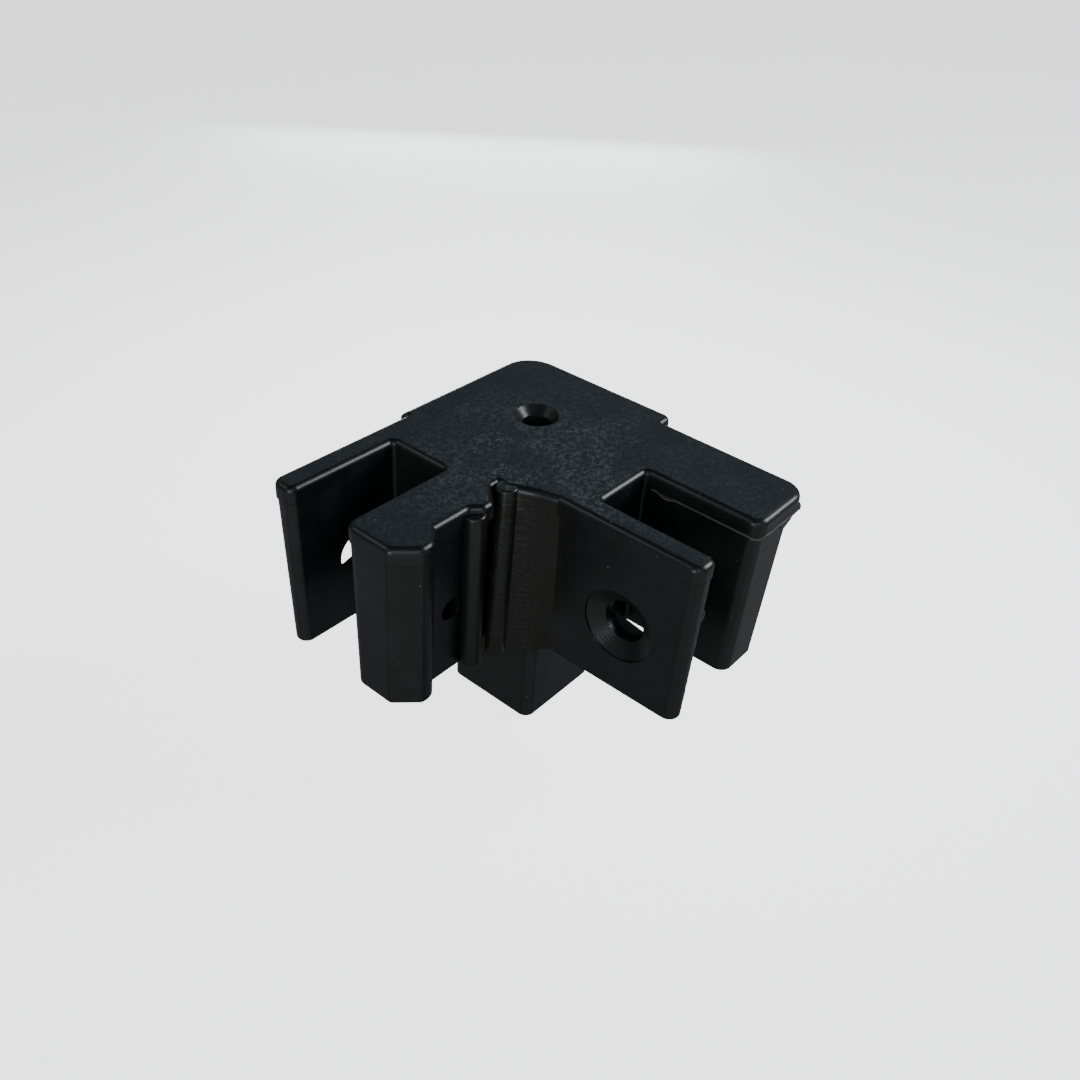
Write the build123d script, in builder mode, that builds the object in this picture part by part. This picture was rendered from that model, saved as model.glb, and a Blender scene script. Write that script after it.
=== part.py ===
"""Three way corner connector: two forked arms at a right angle over a square leg plug.

One moulded piece. The origin is on the plug's axis, in the plane where the hub's underside
meets the leg tube. +Z is up, one arm runs along +X and the other along +Y.

Each arm is a fork: a thin ear, an open slot and a thick ear with a nut channel. The +Y arm is
the +X arm turned a quarter turn about Z, except for the cap over its thick ear, which runs
straight so that the outside of the corner is clean.
"""
import os

from build123d import *

# ---- driving dimensions, mm ----------------------------------------------------------------
body_h = 40.0  # underside to top face
seam_z = 36.1  # parting line between the cap and the walls below it
lip = 0.22  # how far the cap stands proud of the walls at the parting line
end_lip = 0.6  # the same at the end of the +Y arm's thick ear
edge_r = 1.5  # rolled edge round the top
outer_in = 0.8  # how far the outer walls lean in between the parting line and the underside

hub_back = 22.4  # outer faces of the hub, from the axis
hub_front = 19.7  # where the hub steps down to the arms
corner_r = 8.0  # outer vertical corner of the hub
step_r, ledge_r = 1.8, 1.3  # small vertical corners at the hub's steps

slot_root = 29.0  # end wall of each slot
slot_in, slot_out = 0.0, 15.3  # slot faces, across the arm from the axis
thin_out = 20.9  # outer face of the thin ear
thin_end, thick_end = 56.3, 56.1  # reach of the two ears
thin_r, mouth_r, thick_r = 2.5, 2.1, 2.7  # corners at the ears' ends, from the thin ear to the thick one
root_r = 0.8  # corners at the slot's end wall

boss_v, boss_in = 16.2, 1.0  # outer face of the end boss on the thick ear, and how far it leans in
foot_u, top_u, top_lean = 44.85, 48.8, 0.9  # slope from the nut channel to that face, and its lean out
flat, cover_flat = 4.6, 3.8  # flat between the end face and the boss face, and the same under the cover
flat_r, boss_r = 1.6, 3.4  # rounds on the boss: at the flat, and at the top of its slope
web_v = 12.8  # wall behind the nut channel
rib_u, rib_v, rib_r = 34.6, 12.9, 2.2  # round rib on the hub side of the channel
rib_top, rib_edge = 38.4, 0.8
groove_u0, groove_u1, groove_v, groove_r = 32.7, 26.9, 9.0, 0.7  # deep groove between rib and hub
shelf_v, shelf_r = 15.5, 1.5  # hub's front wall beside the +Y arm's groove
inner_u, inner_v = 11.0, 16.0  # ends of the hub's slanted wall behind the gusset
cover_v, cover_r, cover_end_r = 18.6, 4.8, 2.9  # cap edge over the thick ear of the +Y arm
cover_root = 19.0  # the same edge where it leaves the hub

# corbel that carries the cap's overhang at the boss of the +Y arm: height, then plan corners
corbel = [
    (32.2, [(55.8, 10.0), (55.8, 12.0), (53.8, 13.8), (51.8, 15.9), (49.4, 15.9), (49.4, 12.0)]),
    (34.2, [(56.2, 10.0), (56.2, 14.0), (54.9, 16.6), (52.0, 18.0), (49.4, 18.0), (49.4, 12.0)]),
    (36.3, [(56.4, 10.0), (56.4, 14.3), (55.1, 16.9), (52.2, 18.3), (49.4, 18.3), (49.4, 12.0)]),
]

# cap's edge over the +X arm's groove, from the channel to the gusset: corners with their rounds
lobe = [
    ((35.9, 13.0), 1.2),
    ((33.7, 15.1), 1.6),
    ((31.2, 15.1), 1.6),
    ((26.9, 10.6), 1.2),
    ((25.0, 10.6), 0.0),
]
lobe_end = 19.0  # where it runs into the thin ear of the +Y arm, behind the gusset
cap_flat_r = 2.0  # corners of the cap's edge at the boss flat

bead_foot, bead_foot_r = (28.6, 14.2), 2.6  # leaning bead beside the groove
bead_head, bead_head_r, bead_top = (24.8, 12.9), 1.6, 38.6
gusset_foot = [(28.6, 14.0), (27.4, 15.6), (24.4, 18.8), (22.1, 21.3), (19.8, 23.6)]
gusset_head = [(25.2, 12.4), (24.6, 13.8), (22.7, 17.8), (21.6, 21.4), (20.7, 24.2)]
gusset_back, gusset_side = 15.0, 24.0  # hidden corners of the gusset, inside the hub

pin_u, pin_z = 39.9, 16.6  # the pin through each fork
head_r, head_wall, head_depth = 8.3, 0.6, 2.4  # dished seat for the pin's head
pin_r = 4.7  # plain bore through the thin ear
screw_r = 2.5  # small hole through the thick ear
clear = 5.0  # how far the pin cut starts outside the thin ear

plug_w, plug_l, plug_r, plug_edge = 25.0, 35.3, 2.5, 0.6
core_w, core_r, roof = 19.0, 1.5, 12.0  # hollow plug: square core, and the thickness over it
hole_x, hole_y = -0.6, -1.2  # screw hole in the top face
hole_r, cone_r = 3.1, 4.95

# face of the thin ear at the pin's height, where the dished seat starts
seat_v = thin_out - outer_in * (1 - pin_z / seam_z)


def across_x(u, v):
    """Plan point of the +X arm: u along the arm, v across it."""
    return (u, v)


def across_y(u, v):
    """The same point on the +Y arm, a quarter turn on."""
    return (-v, u)


def ears(place, out, slot):
    """Fork from the thin ear's end round to the thick ear's end.

    out is how far the outer faces stand out, and slot how far the slot's faces do.
    """
    run = [
        (thin_end + out, -thin_out - out, thin_r),
        (thin_end + out, -slot_out + slot, mouth_r),
        (slot_root + slot, -slot_out + slot, root_r),
        (slot_root + slot, slot_in - slot, root_r),
        (thick_end + out, slot_in - slot, thick_r),
    ]
    return [(place(u, v), r) for u, v, r in run]


def boss(place, out, face, foot, top, bevel, r):
    """End boss of the thick ear: its flat, its face and its slope down to the web behind the nut."""
    run = [
        (thick_end + out, boss_v + face - bevel, r),
        (thick_end + out - bevel, boss_v + face, r),
        (top, boss_v + face, boss_r),
        (foot, web_v + out, 0.0),
    ]
    return [(place(u, v), r) for u, v, r in run]


def groove(place, out):
    """Deep groove beside the rib."""
    run = [
        (groove_u0 - out, web_v + out, 0.0),
        (groove_u0 - out, groove_v, groove_r),
        (groove_u1 + out, groove_v, groove_r),
    ]
    return [(place(u, v), r) for u, v, r in run]


def outline(corners):
    """Closed plan outline through corners, each with its own radius."""
    FilletPolyline(*[p for p, r in corners], radius=[r for p, r in corners], close=True)


def walls(k):
    """Outline of the walls: k is 0 at the parting line and 1 at the underside."""
    out = -outer_in * k
    face, top = -boss_in * k, top_u - top_lean * k
    back, front = hub_back + out, hub_front + out
    bevel = cover_flat + (flat - cover_flat) * k
    outline(
        [((-back, -back), corner_r + out), ((front, -back), ledge_r), ((front, -thin_out - out), 0.0)]
        + ears(across_x, out, 0.0)
        + boss(across_x, out, face, foot_u, top, flat, flat_r)
        + groove(across_x, out)
        + [((groove_u1 + out, inner_u), 0.0), ((thin_out + out, inner_v), 0.0)]
        + ears(across_y, out, 0.0)
        + boss(across_y, out, face, foot_u, top, bevel, flat_r)
        + groove(across_y, out)
        + [(across_y(groove_u1 + out, shelf_v + out), shelf_r), ((-shelf_v - out, front), 0.0)]
        + [((-back, front), step_r)]
    )


def gusset(points):
    """Gusset section: a curved face, closed by straight ones inside the hub."""
    (x0, y0), (x1, y1) = points[0], points[-1]
    Spline(*points)
    Polyline((x1, y1), (gusset_back, y1), (gusset_back, groove_v), (gusset_side, groove_v), (x0, y0))


# pin seat of the +X arm: dished head seat, plain bore, then the small hole in the thick ear
with BuildPart() as pin_cut:
    with BuildSketch(Plane.XY.offset(pin_z)):
        with BuildLine():
            Polyline(
                (pin_u, -thin_out - clear),
                (pin_u + head_r, -thin_out - clear),
                (pin_u + head_r, -seat_v + head_wall),
                (pin_u + pin_r, -seat_v + head_depth),
                (pin_u + pin_r, -slot_out / 2),
                (pin_u + screw_r, -slot_out / 2),
                (pin_u + screw_r, cover_v),
                (pin_u, cover_v),
                close=True,
            )
        make_face()
    revolve(axis=Axis((pin_u, 0, pin_z), (0, 1, 0)))

# round rib beside the nut channel, with a rounded top
with BuildPart() as rib:
    with BuildSketch():
        with Locations((rib_u, rib_v)):
            Circle(rib_r)
    extrude(amount=rib_top)
    fillet(rib.faces().sort_by(Axis.Z)[-1].edges(), radius=rib_edge)

with BuildPart() as connector:
    # walls below the parting line, leaning in towards the underside
    with BuildSketch(Plane.XY):
        with BuildLine():
            walls(1.0)
        make_face()
    with BuildSketch(Plane.XY.offset(seam_z)):
        with BuildLine():
            walls(0.0)
        make_face()
    loft(ruled=True)

    # cap: its edge follows the +X arm's boss, channel and lobe, and runs straight on the +Y arm
    with BuildSketch(Plane.XY.offset(seam_z)):
        with BuildLine():
            outline(
                [((-hub_back - lip, -hub_back - lip), corner_r)]
                + [((hub_front + lip, -hub_back - lip), 0.0), ((hub_front + lip, -thin_out - lip), 0.0)]
                + ears(across_x, lip, lip)
                + boss(across_x, lip, lip, foot_u, top_u - lip, flat, cap_flat_r)
                + lobe
                + [((thin_out + lip, lobe_end), 0.0)]
                + ears(across_y, lip, lip)[:-1]
                + [(across_y(thick_end + end_lip, slot_in - lip), cover_end_r)]
                + [((-cover_v, thick_end + end_lip), cover_r), ((-cover_root, hub_front + lip), 0.0)]
                + [((-hub_back - lip, hub_front + lip), step_r)]
            )
        make_face()
    extrude(amount=body_h - seam_z)

    # gusset in the inner corner, flaring out towards the underside
    with BuildSketch(Plane.XY):
        with BuildLine():
            gusset(gusset_foot)
        make_face()
    with BuildSketch(Plane.XY.offset(body_h)):
        with BuildLine():
            gusset(gusset_head)
        make_face()
    loft(ruled=True)

    # rolled edge round the whole top
    fillet(connector.faces().sort_by(Axis.Z)[-1].outer_wire().edges(), radius=edge_r)

    # bead, leaning out towards the underside
    with BuildSketch(Plane.XY):
        with Locations(bead_foot):
            Circle(bead_foot_r)
    with BuildSketch(Plane.XY.offset(bead_top)):
        with Locations(bead_head):
            Circle(bead_head_r)
    loft()

    # corbel under the cap of the +Y arm, widening up to meet it
    for height, corners in corbel:
        with BuildSketch(Plane.XY.offset(height)):
            with BuildLine():
                Polyline(*[across_y(u, v) for u, v in corners], close=True)
            make_face()
    loft(ruled=True)

    # rib of the +X arm, and of the +Y arm under its cap
    add(rib.part)
    add(rib.part, rotation=(0, 0, 90))

    # square plug for the leg tube, with rounded edges and a hollow core
    with BuildSketch(Plane.XY):
        RectangleRounded(plug_w, plug_w, plug_r)
    extrude(amount=-plug_l)
    chamfer(connector.faces().sort_by(Axis.Z)[0].outer_wire().edges(), length=plug_edge)
    with BuildSketch(Plane.XY.offset(-plug_l)):
        RectangleRounded(core_w, core_w, core_r)
    extrude(amount=plug_l + body_h - roof, mode=Mode.SUBTRACT)

    # screw hole through the roof
    with Locations((hole_x, hole_y, body_h)):
        CounterSinkHole(radius=hole_r, counter_sink_radius=cone_r, depth=roof + 1.0, counter_sink_angle=90)

    # pin seats of both arms
    add(pin_cut.part, mode=Mode.SUBTRACT)
    add(pin_cut.part, rotation=(0, 0, 90), mode=Mode.SUBTRACT)

os.makedirs("parts", exist_ok=True)
connector.part.label = "corner_connector"
export_step(connector.part, "parts/corner_connector.step")
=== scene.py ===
"""Studio scene of a moulded corner connector: two forked arms over a square leg plug.

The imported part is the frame. The scene dresses its one moulding in black plastic, adds the small
moulding marks that the part carries, and sets a pale floor, soft lights and the camera.
"""
import logging
import math
from dataclasses import dataclass
from enum import Enum
from typing import Callable, Dict, Optional, Tuple, Union

import bpy
from mathutils import Matrix, Vector


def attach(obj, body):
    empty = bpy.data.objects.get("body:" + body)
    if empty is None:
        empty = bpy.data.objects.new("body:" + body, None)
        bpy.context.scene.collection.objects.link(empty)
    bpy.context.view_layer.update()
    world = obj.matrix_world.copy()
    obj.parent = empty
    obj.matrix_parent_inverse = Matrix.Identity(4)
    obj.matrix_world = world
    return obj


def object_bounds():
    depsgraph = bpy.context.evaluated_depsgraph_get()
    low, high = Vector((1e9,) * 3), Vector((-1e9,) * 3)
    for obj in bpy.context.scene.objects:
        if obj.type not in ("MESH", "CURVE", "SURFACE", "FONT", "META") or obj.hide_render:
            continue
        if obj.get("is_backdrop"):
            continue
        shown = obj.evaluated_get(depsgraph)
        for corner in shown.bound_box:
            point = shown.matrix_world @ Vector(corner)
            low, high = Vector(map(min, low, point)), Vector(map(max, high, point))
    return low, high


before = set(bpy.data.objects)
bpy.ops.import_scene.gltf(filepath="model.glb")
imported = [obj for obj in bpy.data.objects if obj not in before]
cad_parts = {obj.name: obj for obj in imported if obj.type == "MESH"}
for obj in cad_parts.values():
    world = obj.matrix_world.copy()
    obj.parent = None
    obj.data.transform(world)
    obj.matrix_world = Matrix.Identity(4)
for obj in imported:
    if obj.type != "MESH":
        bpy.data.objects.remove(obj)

log = logging.getLogger("corner_connector")

MM = 0.001
TOP = 40.0
PIN_ALONG = 39.9
PIN_HEIGHT = 16.6
Colour = Tuple[float, float, float]
Point = Tuple[float, float, float]
Plan = Tuple[float, float]
Socket = bpy.types.NodeSocket
Value = Union[float, Socket]


class Kind(Enum):
    """What a selection on a piece takes."""

    CORNERS = "VERT"
    EDGES = "EDGE"
    FACES = "FACE"


def deselect() -> None:
    """Clears the selection, since the frame's nodes arrive selected."""
    bpy.ops.object.select_all(action="DESELECT")


class Graph:
    """Short hand for building one material's node tree, with lengths in millimetres."""

    def __init__(self, name: str) -> None:
        """Starts an empty node material.

        Args:
            name: The material's name.
        """
        self.material = bpy.data.materials.new(name)
        self.material.use_nodes = True
        self.tree = self.material.node_tree
        self.tree.nodes.clear()
        coords = self.add("ShaderNodeTexCoord")
        scaled = self.add("ShaderNodeVectorMath", {0: coords.outputs["Object"]}, operation="SCALE")
        scaled.inputs["Scale"].default_value = 1.0 / MM
        self.place = scaled.outputs[0]
        self.x, self.y, self.z = self.add("ShaderNodeSeparateXYZ", {0: self.place}).outputs
        self.normal = self.add("ShaderNodeSeparateXYZ", {0: coords.outputs["Normal"]}).outputs

    def add(self, kind: str, inputs: Optional[Dict] = None, **settings: object) -> bpy.types.Node:
        """Adds a node, sets its properties, and fills or links its inputs.

        Args:
            kind: The node's type name.
            inputs: Socket name or index, to a value or to another node's output.
            settings: Node properties.

        Returns:
            The new node.
        """
        node = self.tree.nodes.new(kind)
        for key, value in settings.items():
            setattr(node, key, value)
        for key, value in (inputs or {}).items():
            if isinstance(value, Socket):
                self.tree.links.new(value, node.inputs[key])
            else:
                node.inputs[key].default_value = value
        return node

    def surface(self, shader: bpy.types.Node) -> bpy.types.Material:
        """Ends the tree in a shader, and gives the material."""
        self.add("ShaderNodeOutputMaterial", {"Surface": shader.outputs[0]})
        return self.material

    def math(self, operation: str, a: Value, b: Value = 0.0) -> Socket:
        """Adds one arithmetic step."""
        return self.add("ShaderNodeMath", {0: a, 1: b}, operation=operation).outputs[0]

    def sum(self, first: Value, *others: Value) -> Socket:
        """Adds values together.

        Args:
            first: One value.
            others: The values added to it.

        Returns:
            Their sum.
        """
        for other in others:
            first = self.math("ADD", first, other)
        return first

    def both(self, first: Value, *others: Value) -> Socket:
        """Multiplies masks together.

        Args:
            first: One mask.
            others: The masks and shares that it is cut down by.

        Returns:
            Their product.
        """
        for other in others:
            first = self.math("MULTIPLY", first, other)
        return first

    def either(self, a: Value, b: Value) -> Socket:
        """Takes the larger of two masks."""
        return self.math("MAXIMUM", a, b)

    def length(self, a: Value, b: Value) -> Socket:
        """Length of the diagonal of two lengths."""
        return self.math("SQRT", self.sum(self.both(a, a), self.both(b, b)))

    def reach(self, x: float, y: float) -> Socket:
        """Distance in plan from a point."""
        return self.length(self.math("SUBTRACT", self.x, x), self.math("SUBTRACT", self.y, y))

    def noise(self, scale: float, detail: float = 2.0, stretch: Point = (1.0, 1.0, 1.0),
              turn: Point = (0.0, 0.0, 0.0), bend: float = 0.0) -> Socket:
        """Adds noise in millimetre space.

        Args:
            scale: Cells per millimetre.
            detail: Octaves.
            stretch: Scale of each axis, small for a long grain.
            turn: Turn of the grain, in degrees.
            bend: Distortion of the grain.

        Returns:
            The noise's value.
        """
        place = self.add("ShaderNodeMapping", {
            "Vector": self.place, "Rotation": [math.radians(t) for t in turn], "Scale": stretch})
        return self.add("ShaderNodeTexNoise", {
            "Vector": place.outputs[0], "Scale": scale, "Detail": detail, "Distortion": bend}).outputs["Fac"]

    def step(self, value: Value, low: float, high: float, first: float = 0.0, last: float = 1.0) -> Socket:
        """Maps low to high smoothly on to first to last, and clamps.

        Args:
            value: The value to map.
            low: Where the step starts.
            high: Where it ends.
            first: The result below the step.
            last: The result above it.

        Returns:
            The mapped value.
        """
        return self.add("ShaderNodeMapRange", {
            "Value": value, "From Min": low, "From Max": high, "To Min": first, "To Max": last},
            interpolation_type="SMOOTHSTEP").outputs[0]

    def line(self, grain: Socket, width: float) -> Socket:
        """Thin lines where a grain crosses its middle value."""
        return self.step(self.math("ABSOLUTE", self.math("SUBTRACT", grain, 0.5)), 0.0, width, 1.0, 0.0)

    def blend(self, mask: Socket, a: Value, b: Value) -> Socket:
        """Blends number a into number b by the mask."""
        return self.add("ShaderNodeMix", {"Factor": mask, 2: a, 3: b}, data_type="FLOAT").outputs[0]

    def mix(self, mask: Socket, a: Union[Colour, Socket], b: Union[Colour, Socket]) -> Socket:
        """Blends colour a into colour b by the mask.

        Args:
            mask: 0 for a, 1 for b.
            a: Colour under the mask.
            b: Colour over it.

        Returns:
            The blended colour.
        """
        a, b = (c if isinstance(c, Socket) else (*c, 1.0) for c in (a, b))
        return self.add("ShaderNodeMix", {"Factor": mask, 6: a, 7: b}, data_type="RGBA").outputs[2]


@dataclass(frozen=True)
class Marks:
    """Where the plastic's regions and its wear lie, as masks."""

    top: Socket
    corner: Socket
    flecks: Socket
    drags: Socket
    scratches: Socket


@dataclass(frozen=True)
class BlackPlastic:
    """Moulded black plastic: grained top, smoother walls, drag marks in the corner, and light wear, with painted
    light on the faces turned towards +X and towards +X+Y.
    """

    name: str = "black_plastic"
    wall: Colour = (0.0032, 0.0042, 0.0046)
    # The next two colours are painted light: faces turned towards +X, and diagonal faces turned towards +X+Y, are
    # made lighter for the light that falls on them from that side.
    end: Colour = (0.0090, 0.0106, 0.0101)
    flat: Colour = (0.0180, 0.0190, 0.0184)
    top: Colour = (0.0078, 0.0130, 0.0172)
    corner: Colour = (0.0112, 0.0104, 0.0088)
    fleck: Colour = (0.100, 0.125, 0.135)
    scuff: Colour = (0.060, 0.064, 0.066)
    speck: Colour = (0.35, 0.36, 0.36)
    fleck_share: float = 0.75
    drag_share: float = 0.22
    scratch_share: float = 0.3
    blotch_share: float = 0.08
    speck_share: float = 0.5
    roll_rough: float = 0.32
    wall_rough: float = 0.34
    top_rough: float = 0.48
    worn_rough: float = 0.12
    gloss: float = 0.30
    edge_radius: float = 0.22
    relief: float = 0.05
    ring_relief: float = 0.10
    ring_pitch: float = 9.0
    seat_radius: float = 8.3
    bore_radius: float = 4.6
    seat_depth: float = 17.0

    @classmethod
    def flash(cls) -> "BlackPlastic":
        """Paler finish of the same plastic for the thin fins of flash: the fins are real, and their pale colour is a
        painted highlight along them, lighter again on faces turned towards +X and towards +X+Y.
        """
        return cls(name="black_plastic_fin_highlight", wall=(0.050, 0.052, 0.048), end=(0.095, 0.098, 0.090),
                   flat=(0.095, 0.098, 0.090))

    def material(self) -> bpy.types.Material:
        """Builds the node material.

        Returns:
            The finished material.
        """
        g = Graph(self.name)
        top, corner = self.top_mask(g), self.corner_mask(g)
        marks = Marks(top, corner, g.both(top, self.flecks(g)), g.both(corner, self.drags(g)), self.scratches(g))
        rounded = g.add("ShaderNodeBevel", {"Radius": self.edge_radius * MM}, samples=6)
        bump = g.add("ShaderNodeBump", {
            "Height": self.height(g, marks), "Strength": 0.5, "Distance": self.relief * MM,
            "Normal": rounded.outputs[0]})
        return g.surface(g.add("ShaderNodeBsdfPrincipled", {
            "Base Color": self.colour(g, marks), "Roughness": self.roughness(g, marks),
            "Specular IOR Level": self.gloss, "Normal": bump.outputs[0]}))

    def colour(self, g: Graph, marks: Marks) -> Socket:
        """Lays the regions' colours, with painted light on faces turned towards +X and towards +X+Y, and the wear
        over them.

        Args:
            g: The material's graph.
            marks: Its masks.

        Returns:
            The base colour.
        """
        blotch = g.step(g.noise(0.12, 3.0), 0.45, 0.75)
        # Painted light: faces turned towards +X get a lighter colour, then diagonal faces turned towards +X+Y (and
        # -X-Y) get a lighter one again.
        colour = g.mix(g.step(g.normal[0], 0.3, 0.95), self.wall, self.end)
        colour = g.mix(g.step(g.both(g.normal[0], g.normal[1]), 0.2, 0.45), colour, self.flat)
        colour = g.mix(marks.corner, colour, self.corner)
        colour = g.mix(marks.top, colour, self.top)
        colour = g.mix(g.both(blotch, self.blotch_share), colour, self.scuff)
        colour = g.mix(g.both(marks.flecks, self.fleck_share), colour, self.fleck)
        colour = g.mix(g.both(marks.drags, self.drag_share), colour, self.scuff)
        colour = g.mix(g.both(marks.scratches, self.scratch_share), colour, self.scuff)
        return g.mix(self.specks(g), colour, self.speck)

    def roughness(self, g: Graph, marks: Marks) -> Socket:
        """Sets the walls, the rolled edges and the grained top apart, each with a fine unevenness.

        Args:
            g: The material's graph.
            marks: Its masks.

        Returns:
            The roughness.
        """
        fine = g.noise(2.4, 3.0)
        rolled = g.step(g.normal[2], 0.12, 0.3)
        rough = g.step(fine, 0.3, 0.7, self.wall_rough - 0.06, self.wall_rough + 0.08)
        rough = g.blend(rolled, rough, self.roll_rough)
        rough = g.blend(marks.top, rough, g.step(fine, 0.3, 0.7, self.top_rough - 0.12, self.top_rough + 0.1))
        return g.sum(rough, g.both(g.either(marks.flecks, marks.scratches), self.worn_rough))

    def height(self, g: Graph, marks: Marks) -> Socket:
        """Sets the fine relief: grain, soft waves, drag marks, scratches and turned rings.

        Args:
            g: The material's graph.
            marks: Its masks.

        Returns:
            The relief's height.
        """
        height = g.sum(
            g.both(marks.top, g.noise(1.7, 3.0)), g.both(marks.top, g.step(marks.flecks, 0.0, 1.0, 0.0, -0.5)),
            g.both(g.noise(0.35, 2.0), 0.25), g.both(marks.corner, marks.drags, 0.7))
        height = g.math("SUBTRACT", height, g.both(marks.scratches, 0.5))
        return g.sum(height, self.seat_rings(g, g.y, g.x), self.seat_rings(g, g.x, g.both(g.y, -1.0)))

    @staticmethod
    def top_mask(g: Graph) -> Socket:
        """Flat top face, without its rolled edge."""
        return g.both(g.step(g.normal[2], 0.93, 0.995), g.step(g.z, TOP - 0.5, TOP - 0.1))

    @staticmethod
    def corner_mask(g: Graph) -> Socket:
        """Walls round the gusset and the bead in the inner corner."""
        return g.both(g.step(g.reach(24.5, 17.5), 7.0, 9.5, 1.0, 0.0), g.step(g.z, 38.0, 38.8, 1.0, 0.0),
                      g.step(g.z, -0.5, 0.0))

    @staticmethod
    def flecks(g: Graph) -> Socket:
        """Short pale flecks of the grained top, thickest near the inner corner.

        Args:
            g: The material's graph.

        Returns:
            Their mask.
        """
        first = g.both(g.line(g.noise(0.75, 3.0, bend=1.2), 0.06), g.step(g.noise(0.9, 1.0), 0.48, 0.6))
        second = g.both(g.line(g.noise(1.3, 2.0, bend=0.8), 0.08),
                        g.step(g.noise(1.1, 1.0, turn=(0.0, 0.0, 50.0)), 0.5, 0.6))
        grain = g.both(g.step(g.noise(0.7, 3.0), 0.5, 0.68), 0.6)
        near = g.step(g.reach(13.0, 13.0), 10.0, 38.0, 1.0, 0.30)
        patch = g.step(g.noise(0.09, 2.0), 0.35, 0.62, 0.35, 1.0)
        return g.both(g.either(g.either(first, second), grain), near, patch)

    @staticmethod
    def drags(g: Graph) -> Socket:
        """Streaks down the gusset, with short chatter marks across them beside the bead.

        Args:
            g: The material's graph.

        Returns:
            Their mask.
        """
        streaks = g.step(g.noise(1.4, 2.0, stretch=(1.0, 1.0, 0.04)), 0.5, 0.72)
        beside = g.step(g.reach(25.0, 15.5), 3.0, 6.0, 1.0, 0.35)
        across = g.both(g.step(g.noise(0.8, 2.0, stretch=(0.7, 0.7, 2.4)), 0.54, 0.68), beside)
        return g.either(g.both(streaks, 0.3), across)

    @staticmethod
    def scratches(g: Graph) -> Socket:
        """Few fine, nearly straight scratches.

        Args:
            g: The material's graph.

        Returns:
            Their mask.
        """
        one = g.both(g.line(g.noise(0.5, 0.0, stretch=(1.0, 0.08, 1.0), turn=(0.0, 0.0, 35.0)), 0.006),
                     g.step(g.noise(0.16, turn=(0.0, 0.0, 10.0)), 0.56, 0.62))
        two = g.both(g.line(g.noise(0.6, 0.0, stretch=(0.07, 1.0, 0.5), turn=(0.0, 20.0, -25.0)), 0.006),
                     g.step(g.noise(0.2, turn=(40.0, 0.0, 10.0)), 0.58, 0.64))
        return g.either(one, two)

    def specks(self, g: Graph) -> Socket:
        """Rare pale specks."""
        cell = g.add("ShaderNodeTexVoronoi", {"Vector": g.place, "Scale": 0.22, "Randomness": 1.0})
        return g.step(cell.outputs["Distance"], 0.02, 0.035, self.speck_share, 0.0)

    def seat_rings(self, g: Graph, along: Socket, deep: Socket) -> Socket:
        """Turned rings on the dished seat of one arm's pin head.

        Args:
            g: The material's graph.
            along: Distance along the arm.
            deep: Distance out through the thin ear.

        Returns:
            The rings' height.
        """
        r = g.length(g.math("SUBTRACT", along, PIN_ALONG), g.math("SUBTRACT", g.z, PIN_HEIGHT))
        on_seat = g.both(g.step(r, self.seat_radius - 0.3, self.seat_radius, 1.0, 0.0),
                         g.step(r, self.bore_radius, self.bore_radius + 0.3),
                         g.step(deep, self.seat_depth, self.seat_depth + 0.6))
        return g.both(g.math("SINE", g.both(r, self.ring_pitch)), on_seat, self.ring_relief)


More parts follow.
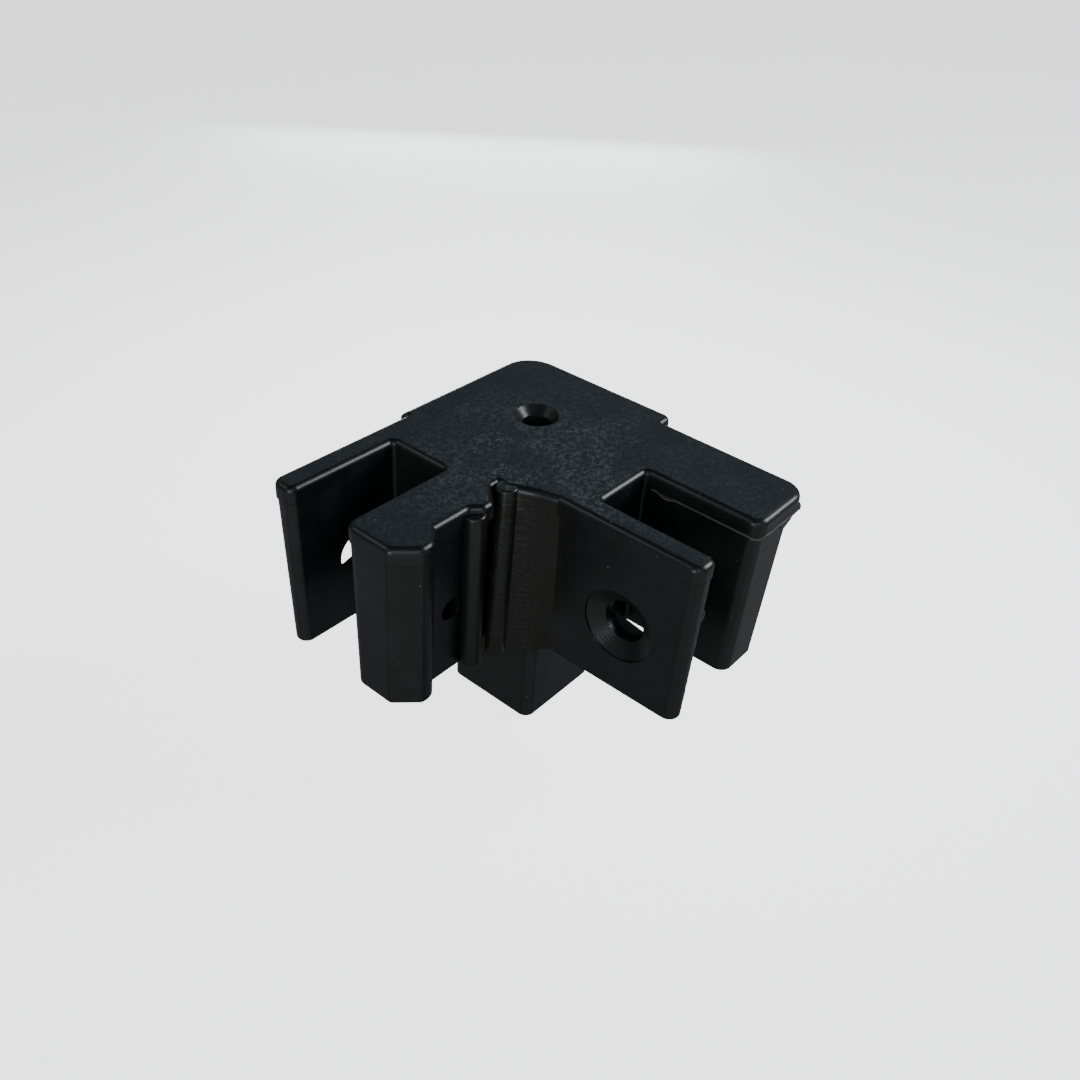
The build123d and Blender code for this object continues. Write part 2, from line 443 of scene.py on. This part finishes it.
@dataclass
class Bench:
    """Modelling by hand: a primitive is shaped in edit mode, with its place in its mesh."""

    name: str
    finish: bpy.types.Material
    piece: Optional[bpy.types.Object] = None

    def __post_init__(self) -> None:
        """Clears the selection for the new piece."""
        deselect()

    def block(self, low: Point, high: Point) -> None:
        """Starts from a block.

        Args:
            low: Its lowest corner, in millimetres.
            high: Its highest corner.
        """
        bpy.ops.mesh.primitive_cube_add(size=1.0, location=[(a + b) / 2 * MM for a, b in zip(low, high)])
        bpy.ops.transform.resize(value=[(b - a) * MM for a, b in zip(low, high)])
        self.open()

    def rod(self, centre: Point, radius: float, length: float, head: Optional[float] = None,
            turn: Point = (0.0, 0.0, 0.0)) -> None:
        """Starts from a round rod that may taper.

        Args:
            centre: The rod's middle, in millimetres.
            radius: Radius at its lower end.
            length: Its length.
            head: Radius at its upper end, if that differs.
            turn: Turn of the rod, in radians.
        """
        bpy.ops.mesh.primitive_cone_add(
            vertices=48, radius1=radius * MM, radius2=(head or radius) * MM, depth=length * MM,
            location=[c * MM for c in centre], rotation=turn)
        self.open()

    def open(self) -> None:
        """Sets the new primitive's place in its mesh and enters edit mode."""
        bpy.ops.object.transform_apply(location=True, rotation=True, scale=True)
        self.piece = bpy.context.active_object
        bpy.ops.object.mode_set(mode="EDIT")

    def pick(self, wanted: Callable[[Vector], bool], kind: Kind = Kind.CORNERS) -> None:
        """Selects the corners, edges or faces whose every corner is wanted.

        Args:
            wanted: Test of a corner's place, in millimetres.
            kind: What is selected.
        """
        bpy.ops.mesh.select_mode(type="VERT")
        bpy.ops.mesh.select_all(action="DESELECT")
        bpy.ops.object.mode_set(mode="OBJECT")
        for corner in self.piece.data.vertices:
            corner.select = wanted(corner.co / MM)
        bpy.ops.object.mode_set(mode="EDIT")
        bpy.ops.mesh.select_mode(type=kind.value)

    def shift(self, wanted: Callable[[Vector], bool], by: Point) -> None:
        """Moves the wanted corners, in millimetres."""
        self.pick(wanted)
        bpy.ops.transform.translate(value=[b * MM for b in by])

    def pull(self, by: Point, times: int = 1) -> None:
        """Extrudes the selected face, in equal steps.

        Args:
            by: The whole way, in millimetres.
            times: Number of steps.
        """
        for _ in range(times):
            bpy.ops.mesh.extrude_region_move(TRANSFORM_OT_translate={"value": [b * MM / times for b in by]})

    def bend(self, x: float, y: float) -> None:
        """Spins the selected face a quarter turn about an upright line."""
        bpy.ops.mesh.spin(steps=8, angle=math.radians(-90.0), center=(x * MM, y * MM, 0.0), axis=(0.0, 0.0, 1.0))

    def roughen(self, wanted: Callable[[Vector], bool], by: float, seed: int) -> None:
        """Moves the wanted corners about by a seeded random amount."""
        self.pick(wanted)
        bpy.ops.transform.vertex_random(offset=by * MM, seed=seed)

    def close(self, soften: float = 0.0) -> bpy.types.Object:
        """Closes the piece: faces outwards, edges softened, dressed, and riding with the connector.

        Args:
            soften: Width of the bevel on its sharp edges, in millimetres.

        Returns:
            The finished piece.
        """
        bpy.ops.mesh.select_all(action="SELECT")
        bpy.ops.mesh.remove_doubles(threshold=0.001 * MM)
        bpy.ops.mesh.normals_make_consistent(inside=False)
        bpy.ops.object.mode_set(mode="OBJECT")
        if soften:
            bevel = self.piece.modifiers.new("soften", "BEVEL")
            bevel.width, bevel.segments, bevel.limit_method = soften * MM, 3, "ANGLE"
            bpy.ops.object.modifier_apply(modifier=bevel.name)
        bpy.ops.object.shade_smooth_by_angle(angle=math.radians(35.0))
        self.piece.name = self.piece.data.name = self.name
        self.piece.data.materials.append(self.finish)
        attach(self.piece, "root")
        log.info("modelled %s", self.name)
        return self.piece


@dataclass
class Moulding:
    """The connector itself, which is the frame's one node."""

    finish: bpy.types.Material
    node: str = "corner_connector"

    def build(self) -> None:
        """Dresses the moulding in its finish."""
        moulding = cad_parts[self.node]
        moulding.data.materials.clear()
        moulding.data.materials.append(self.finish)
        log.info("dressed %s", moulding.name)


@dataclass
class CornerRolls:
    """Round forms of the inner corner: the leaning bead and the rib of the +X arm."""

    finish: bpy.types.Material
    bead_foot: Plan = (28.6, 14.2)
    bead_foot_r: float = 2.62
    bead_head: Plan = (24.7, 12.7)
    bead_head_r: float = 2.4
    bead_top: float = 39.75
    bead_soften: float = 0.55
    rib_place: Plan = (34.75, 13.4)
    rib_r: float = 2.45
    rib_top: float = 38.4
    rib_soften: float = 0.8
    clear: float = 0.02

    def bead(self) -> bpy.types.Object:
        """Models the bead, which leans out towards the underside.

        Returns:
            The finished piece.
        """
        bench = Bench("bead", self.finish)
        bench.rod((*self.bead_foot, self.bead_top / 2 + self.clear), self.bead_foot_r, self.bead_top,
                  self.bead_head_r)
        lean = Vector(self.bead_head) - Vector(self.bead_foot)
        bench.shift(lambda c: c.z > self.bead_top - 0.1, (*lean, 0.0))
        return bench.close(self.bead_soften)

    def rib(self) -> bpy.types.Object:
        """Models the rib beside the nut channel.

        Returns:
            The finished piece.
        """
        bench = Bench("rib", self.finish)
        bench.rod((*self.rib_place, self.rib_top / 2 + self.clear), self.rib_r, self.rib_top)
        return bench.close(self.rib_soften)

    def build(self) -> None:
        """Models the bead and the rib."""
        self.bead()
        self.rib()


@dataclass
class BoreFilms:
    """Thin films of flash across the lower part of each pin bore, flush with the slot's face."""

    finish: bpy.types.Material
    face: float = 15.3
    radius: float = 4.75
    thick: float = 0.16
    ragged: float = 0.14
    cuts: int = 9
    edge_y: Tuple[Plan, Plan] = ((-3.1, -1.45), (2.8, -2.5))
    edge_x: Tuple[Plan, Plan] = ((4.3, -1.2), (2.0, -0.6))

    def film(self, name: str, along: Vector, across: Vector, edge: Tuple[Plan, Plan], seed: int) -> bpy.types.Object:
        """Cuts a disc along a slanting line and makes the cut ragged.

        Args:
            name: The piece's name.
            along: Direction of the arm.
            across: Outward direction, from the slot into the thin ear.
            edge: Two points of the film's upper edge, along the arm and up from the pin's axis.
            seed: Seed of the ragged edge.

        Returns:
            The finished piece.
        """
        up = Vector((0.0, 0.0, 1.0))
        pin = along * PIN_ALONG + across * self.face + up * PIN_HEIGHT
        bench = Bench(name, self.finish)
        bench.rod(pin + across * self.thick / 2, self.radius, self.thick,
                  turn=across.to_track_quat("Z", "Y").to_euler())
        first, last = (pin + along * u + up * v for u, v in edge)
        above = (last - first).cross(across).normalized()
        if above.z < 0.0:
            above.negate()
        bpy.ops.mesh.select_all(action="SELECT")
        bpy.ops.mesh.bisect(plane_co=first * MM, plane_no=above, use_fill=True, clear_outer=True)

        def on_cut(corner: Vector) -> bool:
            """Tells whether a corner lies on the cut."""
            return abs((corner - first).dot(above)) < 0.01

        bench.pick(on_cut, Kind.EDGES)
        bpy.ops.mesh.subdivide(number_cuts=self.cuts)
        bench.roughen(lambda c: on_cut(c) and (c - pin).length < self.radius * 0.93, self.ragged, seed)
        return bench.close()

    def build(self) -> None:
        """Models the films of both arms."""
        x, y = Vector((1.0, 0.0, 0.0)), Vector((0.0, 1.0, 0.0))
        self.film("bore_film_y", y, x, self.edge_y, 3)
        self.film("bore_film_x", x, -y, self.edge_x, 5)


@dataclass
class PartingFlash:
    """Ragged fins of flash at the parting line of the +Y arm, and down the end of its thin ear."""

    # This finish is the paler one, whose colour is a painted highlight along the fins.
    finish: bpy.types.Material
    seam: float = 36.1
    slot_edge: float = 0.22
    root: float = 31.0
    end: float = 56.7
    outer: float = 18.6
    inner_r: float = 2.9
    outer_r: float = 4.8
    sunk: float = 0.3
    proud: float = 0.22
    high: float = 0.36
    start: float = 1.5
    cap_ragged: float = 0.09
    curl: Plan = (33.0, 37.0)
    curl_out: Point = (0.40, 0.0, -0.35)
    mouth: Plan = (54.6, 56.4)
    mouth_out: Point = (0.22, 0.18, -0.25)
    tip: Plan = (-15.4, 55.2)
    tip_out: Point = (-0.32, 0.32, 0.0)
    ear: Plan = (15.95, 55.7)
    ear_lean: float = 0.8
    ear_foot: float = 0.6
    ear_start: float = 1.2
    ear_rise: float = 33.9
    ear_steps: int = 26
    ear_half: float = 0.10
    ear_sunk: float = 0.25
    ear_proud: float = 0.16
    ear_ragged: float = 0.08
    nib: float = 25.8
    nib_out: Point = (-0.25, 0.30, 0.0)

    def cap_fin(self) -> bpy.types.Object:
        """Models the fin along the slot, round the end and on to the outer corner.

        Returns:
            The finished piece.
        """
        edge, start = self.slot_edge, self.root + self.start
        turn, outer_turn = self.end - self.inner_r, self.end - self.outer_r
        bench = Bench("cap_fin", self.finish)
        bench.block((edge - self.sunk, self.root, self.seam - self.high * 0.4),
                    (edge + self.proud, start, self.seam + self.high * 0.6))
        bench.pick(lambda c: c.y > start - 0.1, Kind.FACES)
        bench.pull((0.0, turn - start, 0.0), 14)
        bench.bend(edge - self.inner_r, turn)
        bench.pull((self.outer_r - self.outer - (edge - self.inner_r), 0.0, 0.0), 8)
        bench.bend(self.outer_r - self.outer, outer_turn)
        bench.roughen(lambda c: True, self.cap_ragged, 11)
        bench.shift(lambda c: c.x > edge and self.curl[0] < c.y < self.curl[1], self.curl_out)
        bench.shift(lambda c: c.x > edge - 1.2 and self.mouth[0] < c.y < self.mouth[1], self.mouth_out)
        centre = Vector((self.outer_r - self.outer, outer_turn))

        def at_tip(corner: Vector) -> bool:
            """Tells whether a corner is on the proud edge at the outer corner."""
            past = corner.x < self.tip[0] and corner.y > self.tip[1]
            return past and (corner.xy - centre).length > self.outer_r + 0.02

        bench.shift(at_tip, self.tip_out)
        return bench.close()

    def ear_fin(self) -> bpy.types.Object:
        """Models the fin down the mouth corner of the thin ear, with its nib.

        Returns:
            The finished piece.
        """
        x, y = self.ear
        foot, start = y - self.ear_lean, self.ear_foot + self.ear_start
        bench = Bench("ear_fin", self.finish)
        bench.block((x - self.ear_half, foot - self.ear_sunk, self.ear_foot),
                    (x + self.ear_half, foot + self.ear_proud, start))
        bench.pick(lambda c: c.z > start - 0.1, Kind.FACES)
        bench.pull((0.0, self.ear_lean, self.ear_rise), self.ear_steps)
        bench.roughen(lambda c: True, self.ear_ragged, 7)
        bench.shift(lambda c: abs(c.z - self.nib) < 0.8 and c.y > y - 0.25, self.nib_out)
        return bench.close()

    def build(self) -> None:
        """Models both fins."""
        self.cap_fin()
        self.ear_fin()


@dataclass(frozen=True)
class Lamp:
    """Soft rectangular light that faces the part."""

    name: str
    toward: Point
    reach: float
    size: Plan
    strength: float

    def build(self, aim: Point, tint: Colour) -> None:
        """Adds the light.

        Args:
            aim: Place that it faces, in metres.
            tint: Its colour.
        """
        data = bpy.data.lights.new(self.name, "AREA")
        data.shape, data.color = "RECTANGLE", tint
        data.size, data.size_y = self.size
        data.energy = self.strength * math.pi * self.size[0] * self.size[1]
        lamp = bpy.data.objects.new(self.name, data)
        away = Vector(self.toward).normalized()
        lamp.matrix_world = (Matrix.Translation(Vector(aim) + away * self.reach)
                             @ (-away).to_track_quat("-Z", "Y").to_matrix().to_4x4())
        bpy.context.scene.collection.objects.link(lamp)


@dataclass
class Studio:
    """Pale floor and backdrop, soft lights and the camera."""

    aim: Point = (0.00926, 0.00999, 0.01686)
    distance: float = 0.2380
    azimuth: float = 127.73
    elevation: float = 36.04
    roll: float = 4.43
    lens: float = 35.87
    floor_colour: Colour = (0.60, 0.60, 0.60)
    floor_glow: float = 2.6
    # Share of the floor's glow far from the part; the brighter glow near it is a painted pool of light.
    far_glow: float = 0.60
    tint: Colour = (0.93, 0.98, 1.0)
    bands: Tuple[Plan, ...] = (
        (0.0, 0.03), (0.1, 0.08), (0.2, 0.34), (0.35, 0.38), (0.5, 0.13), (0.62, 0.13), (0.78, 0.43),
        (0.9, 0.12), (1.0, 0.03))
    lamps: Tuple[Lamp, ...] = (
        Lamp("back_right", (-0.64, 0.59, 0.50), 0.8, (0.34, 0.34), 17.0),
        Lamp("front_left", (0.59, -0.50, 0.64), 0.8, (0.34, 0.30), 2.0),
        Lamp("fill", (0.84, 0.30, 0.20), 0.32, (0.12, 0.12), 7.5),
        Lamp("glint", (0.55, 0.69, 0.46), 0.8, (0.05, 0.05), 70.0),
        Lamp("behind", (-0.72, -0.68, 0.0), 0.5, (0.30, 0.036), 14.0))

    def camera(self) -> None:
        """Adds the camera, aimed at the hub's inner corner."""
        a, e = math.radians(self.azimuth), math.radians(self.elevation)
        back = Vector((math.sin(a) * math.cos(e), -math.cos(a) * math.cos(e), math.sin(e)))
        turn = (-back).to_track_quat("-Z", "Y").to_matrix().to_4x4() @ Matrix.Rotation(
            math.radians(self.roll), 4, "Z")
        data = bpy.data.cameras.new("camera")
        data.lens, data.sensor_width = self.lens, 36.0
        data.clip_start, data.clip_end = 0.01, 20.0
        camera = bpy.data.objects.new("camera", data)
        camera.matrix_world = Matrix.Translation(Vector(self.aim) + back * self.distance) @ turn
        bpy.context.scene.collection.objects.link(camera)
        bpy.context.scene.camera = camera

    def pale(self) -> bpy.types.Material:
        """Builds the pale, glowing finish of the floor and the backdrop, with a painted pool of light: the glow is
        brightest just behind the part and a little dimmer far off.

        Returns:
            The finished material.
        """
        g = Graph("floor")
        # Painted pool of light: the glow fades from full just behind the part to the far share, 40 to 420 mm away.
        far = g.step(g.reach(-60.0, -50.0), 40.0, 420.0)
        glow = g.mix(far, (1.0, 1.0, 1.0), (self.far_glow,) * 3)
        return g.surface(g.add("ShaderNodeBsdfPrincipled", {
            "Base Color": (*self.floor_colour, 1.0), "Roughness": 0.8,
            "Emission Color": glow, "Emission Strength": self.floor_glow}))

    def surround(self) -> None:
        """Adds the floor under the part, and a backdrop of the same pale tone."""
        deselect()
        bpy.ops.mesh.primitive_plane_add(size=12.0, location=(0.0, 0.0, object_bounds()[0].z - 0.1 * MM))
        floor = bpy.context.active_object
        floor.name = "floor"
        bpy.ops.mesh.primitive_uv_sphere_add(segments=48, ring_count=24, radius=5.0)
        backdrop = bpy.context.active_object
        backdrop.name = "backdrop"
        backdrop.visible_shadow = False
        pale = self.pale()
        for piece in (floor, backdrop):
            piece.data.materials.append(pale)
            piece.visible_diffuse = piece.visible_glossy = False
            piece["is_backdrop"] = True

    def world(self) -> None:
        """Sets a soft surrounding in level bands, brightest low down and high up, and dim overhead and below."""
        world = bpy.data.worlds.new("studio")
        world.use_nodes = True
        tree = world.node_tree
        coords = tree.nodes.new("ShaderNodeTexCoord")
        axes = tree.nodes.new("ShaderNodeSeparateXYZ")
        ramp = tree.nodes.new("ShaderNodeValToRGB")
        height = tree.nodes.new("ShaderNodeMapRange")
        height.inputs["From Min"].default_value = -1.0
        tree.links.new(coords.outputs["Generated"], axes.inputs[0])
        tree.links.new(axes.outputs[2], height.inputs["Value"])
        tree.links.new(height.outputs[0], ramp.inputs[0])
        stops = ramp.color_ramp.elements
        for spot, _ in self.bands[1:-1]:
            stops.new(spot)
        for stop, (spot, level) in zip(stops, self.bands):
            stop.position = spot
            stop.color = (*[level * c for c in self.tint], 1.0)
        tree.links.new(ramp.outputs[0], tree.nodes["Background"].inputs["Color"])
        bpy.context.scene.world = world

    def build(self) -> None:
        """Adds everything round the part."""
        self.world()
        self.surround()
        for lamp in self.lamps:
            lamp.build(self.aim, self.tint)
        self.camera()


def main() -> None:
    """Builds the scene and reports its pieces."""
    logging.basicConfig(level=logging.INFO, format="%(message)s")
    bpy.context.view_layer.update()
    # The fins' paler finish is a painted highlight along the parting line and down the thin ear's end.
    finish, flash = BlackPlastic().material(), BlackPlastic.flash().material()
    Moulding(finish).build()
    CornerRolls(finish).build()
    BoreFilms(finish).build()
    PartingFlash(flash).build()
    Studio().build()


if __name__ == "__main__":
    main()
